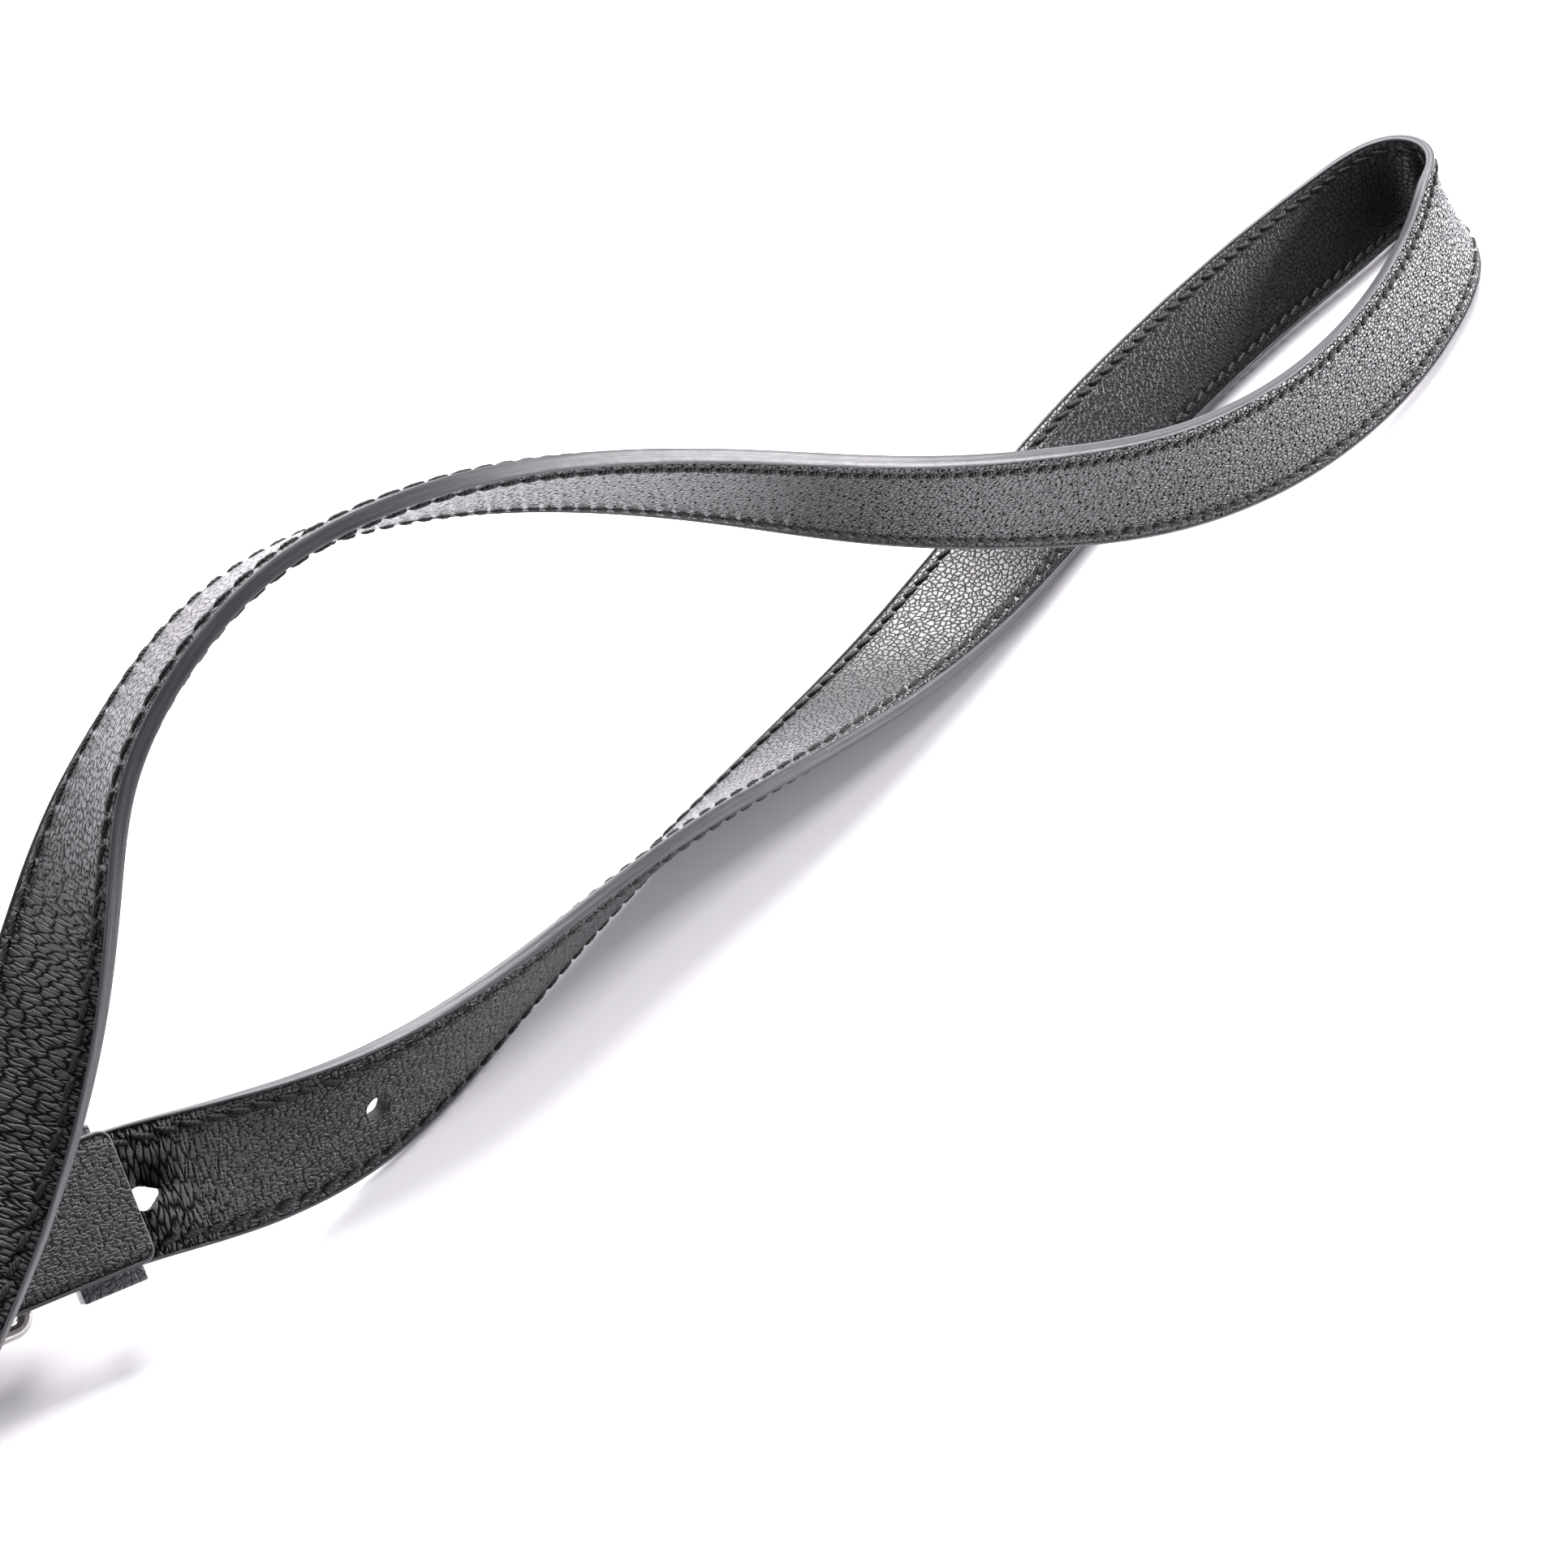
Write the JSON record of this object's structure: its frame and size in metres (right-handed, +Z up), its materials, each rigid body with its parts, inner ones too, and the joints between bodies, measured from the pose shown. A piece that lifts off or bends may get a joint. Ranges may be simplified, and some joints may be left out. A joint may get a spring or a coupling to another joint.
{
  "type": "adjustable leather strap",
  "caption": "Two-ply stitched leather strap with painted edges, closed into a loop by a prong buckle with a sewn keeper and a sliding keeper.",
  "frame": {"origin": "on the surface the strap lies on, under the middle of its bounding box", "axes": "+Z up; the strap's long lie runs from -X -Y, where the buckle is, to +X +Y, where the free bight is"},
  "size_m": [0.3452, 0.3826, 0.1079],
  "materials": {
    "outer_leather": "black grained leather with a soft sheen",
    "lining_leather": "black pored leather, satin",
    "reinforcement": "woven reinforcement",
    "edge_paint": "smooth satin edge paint",
    "thread": "waxed polyester thread",
    "keeper_leather": "black leather, satin",
    "steel": "polished nickel-plated steel"
  },
  "bodies": {
    "strap": {"strap_face": "outer_leather", "strap_reinforcement": "reinforcement", "strap_lining": "lining_leather", "edge_paint_upper": "edge_paint", "edge_paint_lower": "edge_paint", "stitching_upper": "thread", "stitching_lower": "thread", "fixed_keeper": "keeper_leather", "keeper_stitching": "thread", "chape": "lining_leather", "chape_stitching": "thread", "buckle_bar": "steel"},
    "frame": {"buckle_frame": "steel"},
    "prong": {"buckle_prong": "steel"},
    "slider": {"sliding_keeper": "keeper_leather", "slider_stitching": "thread"}
  },
  "joints": [
    {"name": "frame_hinge", "type": "hinge", "parent": "strap", "child": "frame", "pos_m": [-0.09045, -0.08212, 0.0149], "axis": [-0.3714, 0.67, 0.6428], "range_deg": [0, 8]},
    {"name": "prong_hinge", "type": "hinge", "parent": "frame", "child": "prong", "pos_m": [-0.09045, -0.08212, 0.0149], "axis": [-0.3714, 0.67, 0.6428], "range_deg": [0, 6]},
    {"name": "slider_slide", "type": "slide", "parent": "strap", "child": "slider", "axis": [-0.8746, -0.4848, 0], "range_m": [-0.004, 0.006]}
  ]
}
